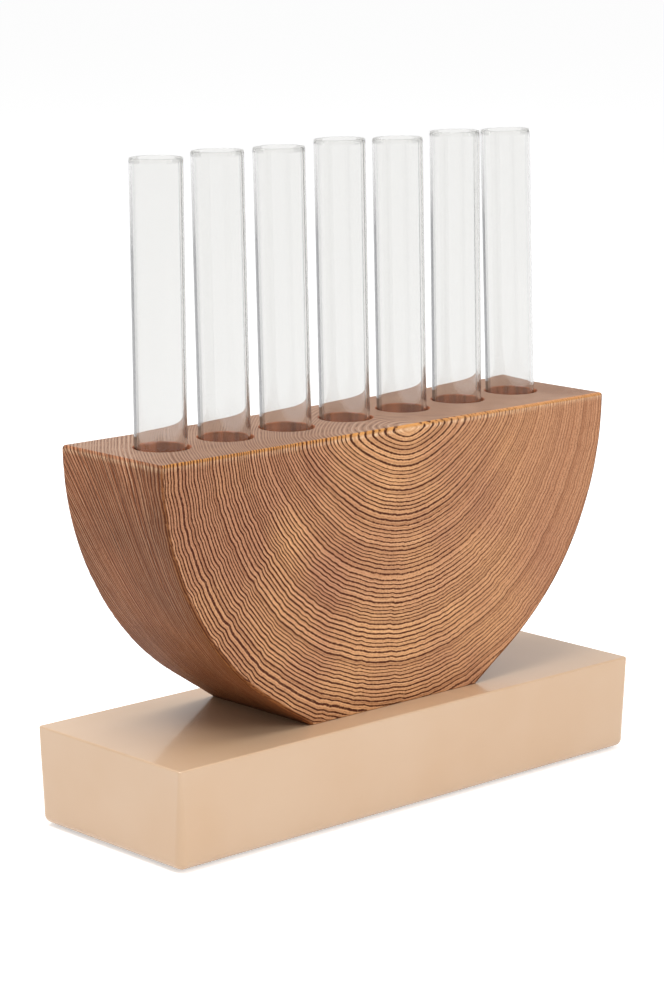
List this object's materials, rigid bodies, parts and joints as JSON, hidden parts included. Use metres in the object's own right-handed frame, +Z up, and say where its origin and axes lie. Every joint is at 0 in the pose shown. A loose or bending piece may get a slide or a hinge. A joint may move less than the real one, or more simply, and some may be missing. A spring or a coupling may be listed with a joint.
{
  "type": "test tube vase",
  "caption": "Vase of upright glass test tubes that lift out of a half-round wooden block on a rectangular lacquered slab.",
  "frame": {"origin": "middle of the footprint, on the surface that the felt pads rest on", "axes": "+X along the row of tubes to the right, +Y to the back across the block, +Z up"},
  "size_m": [0.304, 0.105, 0.3237],
  "materials": {
    "slab_lacquer": "satin champagne-gold lacquer over wood",
    "block_wood": "brushed and oiled, with open dark growth rings",
    "tube_glass": "clear, with fire-polished lip",
    "screw_steel": "zinc plated",
    "washer_steel": "zinc plated",
    "dowel_wood": "plain beech",
    "pad_felt": "pressed brown felt"
  },
  "bodies": {
    "stand": {"base_slab": "slab_lacquer", "half_round_block": "block_wood", "fixing_screws": "screw_steel", "screw_washers": "washer_steel", "locating_dowels": "dowel_wood", "felt_pad_front_left": "pad_felt", "felt_pad_back_left": "pad_felt", "felt_pad_front_right": "pad_felt", "felt_pad_back_right": "pad_felt"},
    "tube_1": {"test_tube_1": "tube_glass"},
    "tube_2": {"test_tube_2": "tube_glass"},
    "tube_3": {"test_tube_3": "tube_glass"},
    "tube_4": {"test_tube_4": "tube_glass"},
    "tube_5": {"test_tube_5": "tube_glass"},
    "tube_6": {"test_tube_6": "tube_glass"},
    "tube_7": {"test_tube_7": "tube_glass"}
  },
  "joints": [
    {"name": "tube_1_lift", "type": "slide", "parent": "stand", "child": "tube_1", "axis": [-0.0038, 0.0041, 1], "range_m": [0, 0.06]},
    {"name": "tube_2_lift", "type": "slide", "parent": "stand", "child": "tube_2", "axis": [-0.0135, 0.0119, 0.9998], "range_m": [0, 0.06]},
    {"name": "tube_3_lift", "type": "slide", "parent": "stand", "child": "tube_3", "axis": [-0.0162, 0.0134, 0.9998], "range_m": [0, 0.06]},
    {"name": "tube_4_lift", "type": "slide", "parent": "stand", "child": "tube_4", "axis": [-0.0142, 0.0133, 0.9998], "range_m": [0, 0.06]},
    {"name": "tube_5_lift", "type": "slide", "parent": "stand", "child": "tube_5", "axis": [-0.0142, 0.0142, 0.9998], "range_m": [0, 0.06]},
    {"name": "tube_6_lift", "type": "slide", "parent": "stand", "child": "tube_6", "axis": [-0.011, 0.0117, 0.9999], "range_m": [0, 0.06]},
    {"name": "tube_7_lift", "type": "slide", "parent": "stand", "child": "tube_7", "axis": [-0.0225, 0.0199, 0.9995], "range_m": [0, 0.06]}
  ]
}
